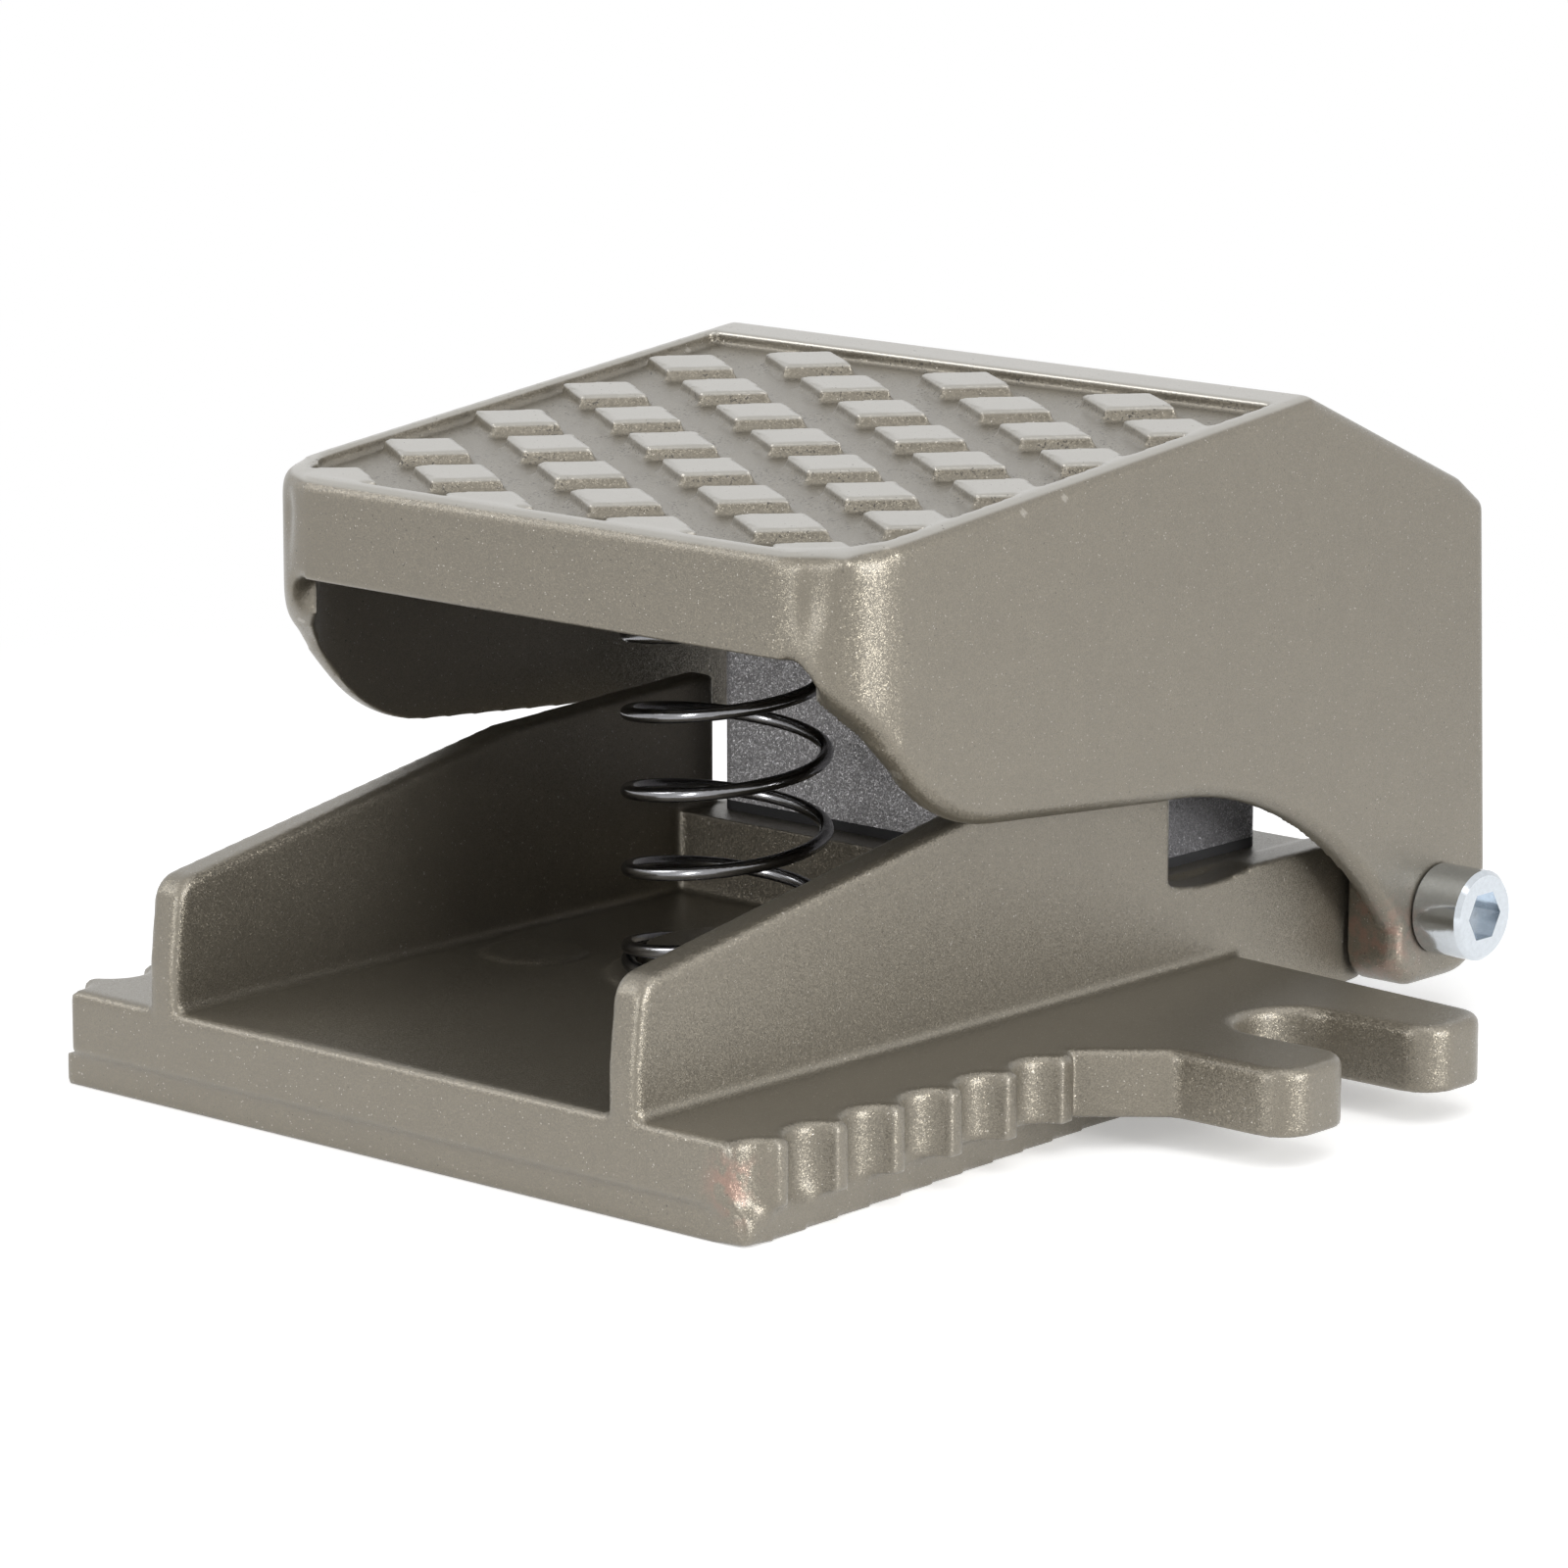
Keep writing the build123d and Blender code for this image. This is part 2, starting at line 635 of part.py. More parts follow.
with BuildPart() as body_washers:
    with BuildSketch(ground.offset(mount_head_seat - mount_washer_thickness)):
        with Locations(*mount_screw_places):
            Circle(mount_washer_radius)
            Circle(mount_screw_radius + fit_clearance, mode=Mode.SUBTRACT)
    extrude(amount=mount_washer_thickness)
write(body_washers, "body_washers")

mount_head_top = mount_head_seat - mount_washer_thickness
with BuildPart() as body_screws:
    with BuildSketch(ground.offset(mount_head_top - mount_head_height)):
        with Locations(*mount_screw_places):
            Circle(mount_head_radius)
    extrude(amount=mount_head_height)
    with BuildSketch(ground.offset(mount_head_top - mount_head_height)):
        with Locations(*mount_screw_places):
            Circle(mount_screw_radius)
    extrude(amount=body_bottom + mount_screw_bite - cast_radius - mount_head_top + mount_head_height)
    with BuildSketch(ground.offset(mount_head_top - mount_head_height)):
        with Locations(*mount_screw_places):
            RegularPolygon(mount_socket / 2, 6, major_radius=False)
    extrude(amount=mount_head_height / 2, mode=Mode.SUBTRACT)
write(body_screws, "body_screws")

# Rear cap with its gasket, seal and screws
with BuildPart() as rear_cap_gasket:
    with BuildSketch(facing_rear(body_rear, bore_z)):
        RectangleRounded(2 * cap_half_width, 2 * cap_half_height, body_corner_radius)
        Circle(bore_radius, mode=Mode.SUBTRACT)
        with Locations(*cap_screw_places):
            Circle(cap_screw_radius + fit_clearance, mode=Mode.SUBTRACT)
    extrude(amount=cap_gasket)
write(rear_cap_gasket, "rear_cap_gasket")

cap_front = body_rear + cap_gasket
cap_rear = cap_front + cap_thickness
with BuildPart() as rear_cap:
    with BuildSketch(facing_rear(cap_front, bore_z)):
        RectangleRounded(2 * cap_half_width, 2 * cap_half_height, body_corner_radius)
        with Locations(*cap_screw_places):
            Circle(cap_screw_radius + fit_clearance, mode=Mode.SUBTRACT)
        Circle(rod_radius + fit_clearance, mode=Mode.SUBTRACT)
    extrude(amount=cap_thickness)
    with BuildSketch(facing_rear(cap_front, bore_z)):
        Circle(seal_radius)
    extrude(amount=seal_thickness, mode=Mode.SUBTRACT)
    chamfer(rear_cap.faces().sort_by(Axis.Y)[-1].outer_wire().edges(), cast_radius / 2)
write(rear_cap, "rear_cap")

with BuildPart() as rod_seal:
    with BuildSketch(facing_rear(cap_front, bore_z)):
        Circle(seal_radius)
        Circle(rod_radius + fit_clearance, mode=Mode.SUBTRACT)
    extrude(amount=seal_thickness)
write(rod_seal, "rod_seal")

with BuildPart() as rear_cap_screws:
    with BuildSketch(facing_rear(cap_rear, bore_z)):
        with Locations(*cap_screw_places):
            Circle(cap_screw_head_radius)
    extrude(amount=cap_screw_head_height)
    with BuildSketch(facing_rear(cap_rear, bore_z)):
        with Locations(*cap_screw_places):
            Circle(cap_screw_radius)
    extrude(amount=-(cap_rear - body_rear + cap_screw_bite - cast_radius))
    with BuildSketch(facing_rear(cap_rear + cap_screw_head_height, bore_z)):
        with Locations(*cap_screw_places):
            RegularPolygon(cap_screw_socket / 2, 6, major_radius=False)
    extrude(amount=-cap_screw_head_height / 2, mode=Mode.SUBTRACT)
write(rear_cap_screws, "rear_cap_screws")

# Spool with its rings, the spring before it and the pusher behind it
spool_front = body_rear - spool_length
spool_radius = bore_radius - spool_clearance
ring_step = spool_length / ring_count
with BuildPart() as spool:
    with BuildSketch(facing_rear(spool_front, bore_z)):
        Circle(spool_radius)
    extrude(amount=spool_length)
    for ring in range(ring_count):
        groove_y = spool_front + (ring + 0.5) * ring_step - ring_section
        with BuildSketch(facing_rear(groove_y, bore_z)):
            Circle(spool_radius)
            Circle(spool_radius - 2 * ring_section, mode=Mode.SUBTRACT)
        extrude(amount=2 * ring_section, mode=Mode.SUBTRACT)
    for waist in range(1, ring_count):
        with BuildSketch(facing_rear(spool_front + waist * ring_step - ring_section / 2, bore_z)):
            Circle(spool_radius)
            Circle(spool_waist_radius, mode=Mode.SUBTRACT)
        extrude(amount=ring_section, mode=Mode.SUBTRACT)
write(spool, "spool")

with BuildPart() as spool_orings:
    for ring in range(ring_count):
        with BuildSketch(bore_side):
            with Locations((spool_front + (ring + 0.5) * ring_step, spool_radius - ring_section)):
                Circle(ring_section)
        revolve(axis=bore_axis)
write(spool_orings, "spool_orings")

with BuildPart() as spool_return_spring:
    with Locations(facing_rear(bore_end + spring_gap / 2, bore_z)):
        add(coil_spring(spool_spring_mean_radius, spool_spring_wire, spool_spring_pitch,
                        spool_front - bore_end - spring_gap))
write(spool_return_spring, "spool_return_spring")

pusher_end = cap_rear + pusher_reach
with BuildPart() as pusher:
    with BuildSketch(facing_rear(body_rear, bore_z)):
        Circle(rod_radius)
    extrude(amount=pusher_end - body_rear)
    fillet(pusher.edges().group_by(Axis.Y)[-1], rod_radius / 3)
write(pusher, "pusher")

adjuster_tip = pusher_end + contact_gap
adjuster_end = heel_chamfer_y - adjuster_recess + heel_slope * (heel_chamfer_z - bore_z)
with BuildPart() as adjusting_screw:
    with BuildSketch(facing_rear(adjuster_tip, bore_z)):
        Circle(adjuster_tip_radius)
    extrude(amount=adjuster_tip_length)
    with BuildSketch(facing_rear(adjuster_tip + adjuster_tip_length, bore_z)):
        Circle(rod_radius)
    extrude(amount=adjuster_end - adjuster_tip - adjuster_tip_length)
    with BuildSketch(facing_rear(adjuster_end, bore_z)):
        RegularPolygon(adjuster_socket / 2, 6, major_radius=False)
    extrude(amount=-adjuster_socket, mode=Mode.SUBTRACT)
write(adjusting_screw, "adjusting_screw")

with BuildPart() as adjusting_locknut:
    with BuildSketch(facing_rear(adjuster_boss_face - locknut_height, bore_z)):
        RegularPolygon(nut_across_flats / 2, 6, major_radius=False)
        Circle(rod_radius + fit_clearance, mode=Mode.SUBTRACT)
    extrude(amount=locknut_height)
write(adjusting_locknut, "adjusting_locknut")
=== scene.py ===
"""Dress for the foot pedal air valve: soft cast edges, paint, steel, rubber and a pale studio."""

import math

import bpy
import numpy as np
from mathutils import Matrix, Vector


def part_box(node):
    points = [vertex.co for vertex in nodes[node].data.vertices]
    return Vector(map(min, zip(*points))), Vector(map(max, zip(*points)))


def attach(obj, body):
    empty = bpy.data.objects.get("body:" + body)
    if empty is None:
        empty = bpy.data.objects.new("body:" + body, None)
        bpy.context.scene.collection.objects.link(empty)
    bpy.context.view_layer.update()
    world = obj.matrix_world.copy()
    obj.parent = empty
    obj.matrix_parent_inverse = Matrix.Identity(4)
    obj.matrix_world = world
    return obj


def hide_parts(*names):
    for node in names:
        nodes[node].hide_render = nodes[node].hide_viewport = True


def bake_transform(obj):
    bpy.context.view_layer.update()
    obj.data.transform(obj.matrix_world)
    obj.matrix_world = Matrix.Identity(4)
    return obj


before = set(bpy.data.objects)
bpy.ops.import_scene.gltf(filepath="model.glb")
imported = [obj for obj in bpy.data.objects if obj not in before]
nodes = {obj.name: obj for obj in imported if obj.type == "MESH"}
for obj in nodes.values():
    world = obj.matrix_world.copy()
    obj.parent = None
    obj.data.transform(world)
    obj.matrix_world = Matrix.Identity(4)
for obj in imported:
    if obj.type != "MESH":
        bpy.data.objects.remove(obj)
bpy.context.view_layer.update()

MM = 0.001
Y, Z = 1, 2

# Camera: its place and angle as the photograph shows the valve
AZIMUTH = 41.79
ELEVATION = 12.05
LENS = 157.5
SENSOR = 36.0
NEAR_CLIP = 0.01
DISTANCE = 722.5 * MM
TARGET = Vector((4.73, -10.0, 31.17)) * MM

# Cast pieces: the voxel skin and the smoothing that round their edges
CAST_VOXEL = {"base": 0.40 * MM, "pedal": 0.34 * MM}
CAST_PASSES = 2
SMOOTH_FACTOR = 0.5

# Tread of the treadle: its plane's slope, and its ridge's place from the heel
TREAD_SLOPE = math.radians(6.0)
RIDGE_SETBACK = 32.8 * MM

# Masks on the tread, as where they start and are full: inside the rim, from the treadle's side
# or front, and by height over the tread plane, above the field's floor and on the blocks' tops
RIM_INNER = (2.4 * MM, 3.0 * MM)
FIELD_LEVEL = (-2.4 * MM, -1.9 * MM)
WORN_AND_SHEEN_LEVEL = (-0.5 * MM, -0.2 * MM)

# Front corners of the treadle: their chamfer, how softly it is rounded, and the depths to which
# the skin moves fully and at all
CORNER_CHAMFER = 5.2 * MM
CORNER_ROUNDING = 1.15 * MM
CORNER_SKIN = 3.0 * MM
CORNER_REACH = 6.5 * MM

# Smoothing of those corners: nearness to the chamfer, depth below the tread plane, and passes
CORNER_NEAR = 2.5 * MM
CORNER_DROP = 25.0 * MM
CORNER_PASSES = 60

# Dent beside the front face: place from the chamfer's edge, half width, depth and direction
DENT_OFFSET = 0.35 * MM
DENT_WIDTH = 0.9 * MM
DENT_DEPTH = 0.7 * MM
DENT_TURN = math.radians(22.5)

# Where the dent has no depth yet and its full depth: from above, from below, and from inside
DENT_START = (1.0 * MM, 2.5 * MM)
DENT_END = (9.0 * MM, 5.0 * MM)
DENT_SKIN = (1.5 * MM, 0.5 * MM)

# Lower rim of the base: where its step starts, the step's height and depth, and the rim's wall
RIM_TOP = 4.3 * MM
RIM_TURN = 1.3 * MM
RIM_STEP = 0.8 * MM
RIM_WALL = 4.0 * MM

# Bottoms of the base's first grips, smoothed more: x, y, z and radius, and the share of the
# radius within which they are smoothed fully
GRIP_SPOTS = [(48.8 * MM, -64.6 * MM, 3.6 * MM, 6.0 * MM),
              (47.6 * MM, -55.6 * MM, 4.2 * MM, 3.2 * MM)]
GRIP_CORE = 1.0 / 3.0

# Machined pieces: the angle from which their edges are broken, and the breaks' segments and widths
BREAK_ANGLE = math.radians(40)
BREAK_SEGMENTS = 2
BODY_BREAK = 0.3 * MM
FASTENER_BREAK = 0.15 * MM

# Paint and metal colours, linear
CAST_PAINT = (0.176, 0.156, 0.120)
CAST_FLAKE = (0.46, 0.43, 0.38)
# Painted highlight for the castings' outer edges; the same pale colour also marks the base's light
# nibs
CAST_HIGHLIGHT_AND_NIB = (0.50, 0.47, 0.42)
# Wear on the treadle's block tops, made paler as a painted sheen
CAST_WORN_AND_SHEEN = (0.44, 0.425, 0.39)
# Dirt specks, and also the painted shade in the castings' inner corners
CAST_DIRT_AND_SHADE = (0.035, 0.03, 0.025)
CAST_STAIN = (0.36, 0.17, 0.13)
BODY_PAINT = (0.14, 0.133, 0.145)
# Light speckles of the body's coating, also used as its painted edge highlight
BODY_SPECKLE_AND_HIGHLIGHT = (0.72, 0.71, 0.72)
SPRING_STEEL = (0.26, 0.26, 0.27)
ZINC = (0.62, 0.66, 0.70)
BRIGHT_STEEL = (0.55, 0.55, 0.57)
# Black oxide and dark specks, also the painted shade on the valve body's sides
BLACK_OXIDE_AND_SHADE = (0.035, 0.035, 0.04)
ALUMINIUM = (0.52, 0.52, 0.53)
RUBBER = (0.012, 0.012, 0.013)
RUBBER_DUST = (0.03, 0.03, 0.032)
WHITE = (1.0, 1.0, 1.0)
FLOOR_WHITE = (0.93, 0.93, 0.93)

# Specks: detail of their noise, its level above which they show, how far an amount lowers that,
# and their soft edge; then the scale of their patches, and where those start and are full
SPECK_DETAIL = 3.0
SPECK_LIMIT = 0.78
SPECK_GAIN = 0.3
SPECK_EDGE = 0.04
PATCH_SCALE = 0.08
PATCH_RANGE = (0.42, 0.62)

# Stain: scale of the noise that breaks it up, and where its nearness and that noise count
STAIN_SCALE = 700.0
STAIN_NEAR = (0.0, 0.8)
STAIN_PATCHES = (0.4, 0.65)

# Paint of the castings: its plain values, its flake, and what counts as an edge or inner corner
CAST_METALLIC = 0.68
CAST_ROUGHNESS = 0.37
CAST_COAT = {"Coat_Weight": 0.8, "Coat_Roughness": 0.4}
CAST_GRAIN = {"Size": 0.10 * MM, "Spread": 0.32, "Bright_share": 0.004}
CAST_TILT = 0.38
CAST_EDGES = {"Edge_start": 0.515, "Edge_full": 0.60, "Corner_start": 0.485, "Corner_full": 0.40}

# On it: painted highlights on edges, wear with a painted sheen on tops, the mottle's shade, stain,
# light nibs, and dirt specks with painted shade in inner corners
EDGE_HIGHLIGHT_SHARE = 0.35
WORN_AND_SHEEN_SHARE = 0.75
WORN_TILT = 0.30
WORN_SHEEN = 0.08
MOTTLE_SHADE = (0.94, 0.12)
STAIN_SHARE = 0.4
NIBS = {"Size": 0.55 * MM, "Amount": 0.3}
NIB_SHARE = 0.7
DIRT_SIZE = 0.32 * MM
DIRT_AND_SHADE_SHARE = 0.8
DIRT_SHEEN = 0.4
FIELD_DIRT = 0.28
CORNER_SHADE = 0.6

# Its orange peel: scale and depth
PEEL_SCALE = 260.0
PEEL_DEPTH = 0.015 * MM

# Coating of the valve body, with painted highlights on its edges and painted shade on its sides:
# how far inside the body's reach that shade starts
BODY_METALLIC = 0.3
BODY_ROUGHNESS = 0.42
BODY_GRAIN = {"Size": 0.13 * MM, "Spread": 0.9, "Bright_share": 0.18, "Tilt": 0.8}
BODY_EDGES = {"Edge_start": 0.52, "Edge_full": 0.6, "Corner_start": 0.48, "Corner_full": 0.4}
BODY_EDGE_HIGHLIGHT_SHARE = 0.4
BODY_SIDE_SHADE = (0.4 * MM, 0.2 * MM)
BODY_SIDE_SHADE_SHARE = 0.75

# Metals: dark specks, and the shade and roughness that their marks and mottle give
METAL_SPECKS = {"Size": 0.9 * MM, "Amount": 0.1}
METAL_SPECK_SHARE = 0.5
METAL_SHADE = (0.9, 0.2)
METAL_SHEEN = (-0.05, 0.12)

# Each metal: colour, roughness, and its marks' stretch along x, y and z, scale and depth
METALS = {
    "spring_steel": (SPRING_STEEL, 0.19, (1, 1, 1), 2500.0, 0.004 * MM),
    "zinc": (ZINC, 0.13, (1, 1, 1), 1800.0, 0.006 * MM),
    "bright_steel": (BRIGHT_STEEL, 0.2, (1, 12, 1), 900.0, 0.004 * MM),
    "black_steel": (BLACK_OXIDE_AND_SHADE, 0.35, (1, 1, 1), 1800.0, 0.006 * MM),
    "aluminium": (ALUMINIUM, 0.3, (1, 9, 1), 900.0, 0.005 * MM),
}

# Seals and gaskets
RUBBER_ROUGHNESS = 0.6
RUBBER_SPECKS = {"Size": 0.5 * MM, "Amount": 0.3}
RUBBER_DUST_SHARE = 0.3
RUBBER_BUMP = 0.03 * MM

# Soft boxes: azimuth and elevation in degrees, distance, width and height in metres, and power
SOFT_BOXES = {
    "key": (65, 60, 1.3, 0.9, 0.9, 4.0),
    "toe": (-50, 34, 1.3, 0.5, 0.5, 3.5),
    "side": (91, 10, 0.9, 0.2, 0.35, 5.4),
    "front": (-2, 10, 0.9, 0.12, 0.35, 2.3),
}

# Floor: half its side, its drop below the valve, its roughness and its own light; distances from
# its middle where it starts to turn plain white and where it is so; and the light of the sky
FLOOR_REACH = 6.0
FLOOR_DROP = 0.05 * MM
FLOOR_ROUGHNESS = 0.9
FLOOR_LIFT = 0.34
FLOOR_FADE = (90 * MM, 260 * MM)
SKY_LIGHT = 0.62

# Layout of the nodes in their editor
NODE_START = -1600
NODE_COLUMN = 180
NODE_ROW = 170
NODE_ROWS = 4

# Kinds of group sockets
COLOUR = "NodeSocketColor"
VALUE = "NodeSocketFloat"
VECTOR = "NodeSocketVector"


def rgba(colour):
    """The colour with full opacity."""
    return (*colour, 1.0)


class Wiring:
    """Adds nodes to a tree and links them, with columns laid out from left to right."""

    def __init__(self, tree):
        self.tree = tree
        self.count = 0

    def node(self, kind, **values):
        new = self.tree.nodes.new(kind)
        new.location = (NODE_START + self.count * NODE_COLUMN, -(self.count % NODE_ROWS) * NODE_ROW)
        self.count += 1
        for name, value in values.items():
            setattr(new, name, value)
        return new

    def link(self, output, socket):
        self.tree.links.new(output, socket)

    def feed(self, socket, value):
        """Links another node's output to the socket, or sets a plain value on it."""
        if isinstance(value, bpy.types.NodeSocket):
            self.link(value, socket)
        else:
            socket.default_value = value

    def math(self, operation, first, second=0.0, clamp=False):
        new = self.node("ShaderNodeMath", operation=operation, use_clamp=clamp)
        self.feed(new.inputs[0], first)
        self.feed(new.inputs[1], second)
        return new.outputs[0]

    def times(self, first, second):
        return self.math("MULTIPLY", first, second)

    def vector(self, operation, first, second=None):
        """A vector worked out from one or two others, or from one and a factor for SCALE."""
        new = self.node("ShaderNodeVectorMath", operation=operation)
        self.feed(new.inputs[0], first)
        if second is not None:
            self.feed(new.inputs["Scale" if operation == "SCALE" else 1], second)
        plain = operation in ("DISTANCE", "DOT_PRODUCT", "LENGTH")
        return new.outputs["Value" if plain else "Vector"]

    def ramp(self, value, low, high):
        """0 up to the low value, 1 from the high one, and a soft rise between them."""
        new = self.node("ShaderNodeMapRange", clamp=True, interpolation_type="SMOOTHSTEP")
        self.feed(new.inputs["Value"], value)
        self.feed(new.inputs["From Min"], low)
        self.feed(new.inputs["From Max"], high)
        return new.outputs["Result"]

    def mix(self, amount, first, second):
        new = self.node("ShaderNodeMix", data_type="RGBA", clamp_factor=True)
        self.feed(new.inputs[0], amount)
        self.feed(new.inputs[6], first)
        self.feed(new.inputs[7], second)
        return new.outputs[2]

    def cover(self, under, over, mask, share):
        """One colour with another over it, by this share where the mask is 1."""
        return self.mix(self.times(mask, share), under, rgba(over))

    def shade(self, colour, plain, mask, gain):
        """The colour made darker or lighter, by plain + gain x mask."""
        new = self.node("ShaderNodeHueSaturation")
        self.feed(new.inputs["Value"], self.math("ADD", plain, self.times(mask, gain)))
        self.feed(new.inputs["Color"], colour)
        return new.outputs["Color"]

    def place(self):
        """The place on the object, in its own space."""
        return self.node("ShaderNodeTexCoord").outputs["Object"]

    def place_parts(self):
        """The same, as three values X, Y and Z."""
        split = self.node("ShaderNodeSeparateXYZ")
        self.link(self.place(), split.inputs["Vector"])
        return split.outputs

    def noise(self, scale, detail=2.0, place=None):
        new = self.node("ShaderNodeTexNoise")
        self.link(self.place() if place is None else place, new.inputs["Vector"])
        self.feed(new.inputs["Scale"], scale)
        new.inputs["Detail"].default_value = detail
        return new.outputs["Fac"]


def new_group(name, inputs, outputs):
    """A shader node group, its wiring, and the sockets that it is given and puts out, by label."""
    tree = bpy.data.node_groups.new(name, "ShaderNodeTree")
    for way, sockets in (("INPUT", inputs), ("OUTPUT", outputs)):
        for label, kind in sockets.items():
            tree.interface.new_socket(label, in_out=way, socket_type=kind)
    w = Wiring(tree)
    return tree, w, w.node("NodeGroupInput").outputs, w.node("NodeGroupOutput").inputs


def flake_group():
    """Metal flake in paint: small cells, each with its own shade and tilt, a few of them bright."""
    tree, w, given, result = new_group(
        "flake",
        {"Colour": COLOUR, "Flake": COLOUR, "Size": VALUE, "Spread": VALUE,
         "Bright share": VALUE, "Tilt": VALUE},
        {"Colour": COLOUR, "Normal": VECTOR})
    cells = w.node("ShaderNodeTexVoronoi", feature="F1")
    w.link(w.place(), cells.inputs["Vector"])
    w.link(w.math("DIVIDE", 1.0, given["Size"]), cells.inputs["Scale"])
    split = w.node("ShaderNodeSeparateColor")
    w.link(cells.outputs["Color"], split.inputs["Color"])
    off_middle = w.math("SUBTRACT", split.outputs["Red"], 0.5)
    dimmed = w.shade(given["Colour"], 1.0, off_middle, given["Spread"])
    limit = w.math("SUBTRACT", 1.0, given["Bright share"])
    bright = w.math("GREATER_THAN", split.outputs["Green"], limit)
    w.link(w.mix(bright, dimmed, given["Flake"]), result["Colour"])
    centred = w.vector("SUBTRACT", cells.outputs["Color"], (0.5, 0.5, 0.5))
    tilted = w.vector("SCALE", centred, given["Tilt"])
    surface = w.node("ShaderNodeNewGeometry").outputs["Normal"]
    w.link(w.vector("NORMALIZE", w.vector("ADD", surface, tilted)), result["Normal"])
    return tree


def edge_group():
    """Masks from the surface's curvature: 1 on outer edges, and 1 in inner corners."""
    tree, w, given, result = new_group(
        "edge",
        {"Edge start": VALUE, "Edge full": VALUE, "Corner start": VALUE, "Corner full": VALUE},
        {"Edge": VALUE, "Corner": VALUE})
    curve = w.node("ShaderNodeNewGeometry").outputs["Pointiness"]
    w.link(w.ramp(curve, given["Edge start"], given["Edge full"]), result["Edge"])
    corner = w.ramp(w.math("SUBTRACT", 1.0, curve),
                    w.math("SUBTRACT", 1.0, given["Corner start"]),
                    w.math("SUBTRACT", 1.0, given["Corner full"]))
    w.link(corner, result["Corner"])
    return tree


def speck_group():
    """Small specks in patches, and a broader mottle."""
    tree, w, given, result = new_group(
        "specks", {"Size": VALUE, "Amount": VALUE}, {"Specks": VALUE, "Mottle": VALUE})
    fine = w.noise(w.math("DIVIDE", 1.0, given["Size"]), SPECK_DETAIL)
    broad = w.noise(w.math("DIVIDE", PATCH_SCALE, given["Size"]))
    limit = w.math("SUBTRACT", SPECK_LIMIT, w.times(given["Amount"], SPECK_GAIN))
    shown = w.ramp(fine, limit, w.math("ADD", limit, SPECK_EDGE))
    w.link(w.times(shown, w.ramp(broad, *PATCH_RANGE)), result["Specks"])
    w.link(broad, result["Mottle"])
    return tree


def grain_group():
    """Machining or drawing marks: noise stretched along one axis."""
    tree, w, given, result = new_group(
        "grain", {"Stretch": VECTOR, "Scale": VALUE}, {"Height": VALUE})
    squeezed = w.vector("MULTIPLY", w.place(), given["Stretch"])
    w.link(w.noise(given["Scale"], place=squeezed), result["Height"])
    return tree


FLAKE = flake_group()
EDGE = edge_group()
SPECKS = speck_group()
GRAIN = grain_group()


def place_group(w, tree, **values):
    """Places a group in a material with its own values; underscores in names stand for spaces."""
    placed = w.node("ShaderNodeGroup", node_tree=tree)
    for name, value in values.items():
        w.feed(placed.inputs[name.replace("_", " ")], value)
    return placed.outputs


def new_material(name, metallic, roughness, **plain):
    """A material with a Principled shader, whose plain values are set on its own sockets."""
    material = bpy.data.materials.new(name)
    material.use_nodes = True
    material.node_tree.nodes.clear()
    w = Wiring(material.node_tree)
    shader = w.node("ShaderNodeBsdfPrincipled")
    shader.inputs["Metallic"].default_value = metallic
    shader.inputs["Roughness"].default_value = roughness
    for label, value in plain.items():
        shader.inputs[label.replace("_", " ")].default_value = value
    w.link(shader.outputs["BSDF"], w.node("ShaderNodeOutputMaterial").inputs["Surface"])
    return material, w, shader


def bump(w, shader, height, distance, under=None):
    """Gives the shader's surface a height, over another normal where one is given."""
    new = w.node("ShaderNodeBump")
    w.link(height, new.inputs["Height"])
    new.inputs["Distance"].default_value = distance
    new.inputs["Strength"].default_value = 1.0
    if under is not None:
        w.link(under, new.inputs["Normal"])
    w.link(new.outputs["Normal"], shader.inputs["Normal"])


def stain_mask(w, centre, radius):
    """1 near a point of the casting, fading out at the radius, broken up by noise."""
    away = w.math("DIVIDE", w.vector("DISTANCE", w.place(), centre), radius)
    near = w.math("SUBTRACT", 1.0, away, clamp=True)
    return w.times(w.ramp(near, *STAIN_NEAR), w.ramp(w.noise(STAIN_SCALE), *STAIN_PATCHES))


def tread_level(w):
    """Height over the treadle's tread plane, below 0 in the field between its blocks."""
    low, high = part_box("pedal")
    ridge = Vector((0.0, high[1] - RIDGE_SETBACK, high[2]))
    upward = (0.0, -math.sin(TREAD_SLOPE), math.cos(TREAD_SLOPE))
    return w.vector("DOT_PRODUCT", w.vector("SUBTRACT", w.place(), ridge), upward)


def rim_inside(w):
    """1 over the tread's field, 0 on the treadle's rim and outside."""
    low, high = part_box("pedal")
    place = w.place_parts()
    side = w.ramp(w.math("SUBTRACT", high[0], w.math("ABSOLUTE", place["X"])), *RIM_INNER)
    front = w.ramp(w.math("SUBTRACT", place["Y"], low[1]), *RIM_INNER)
    return w.times(side, front)


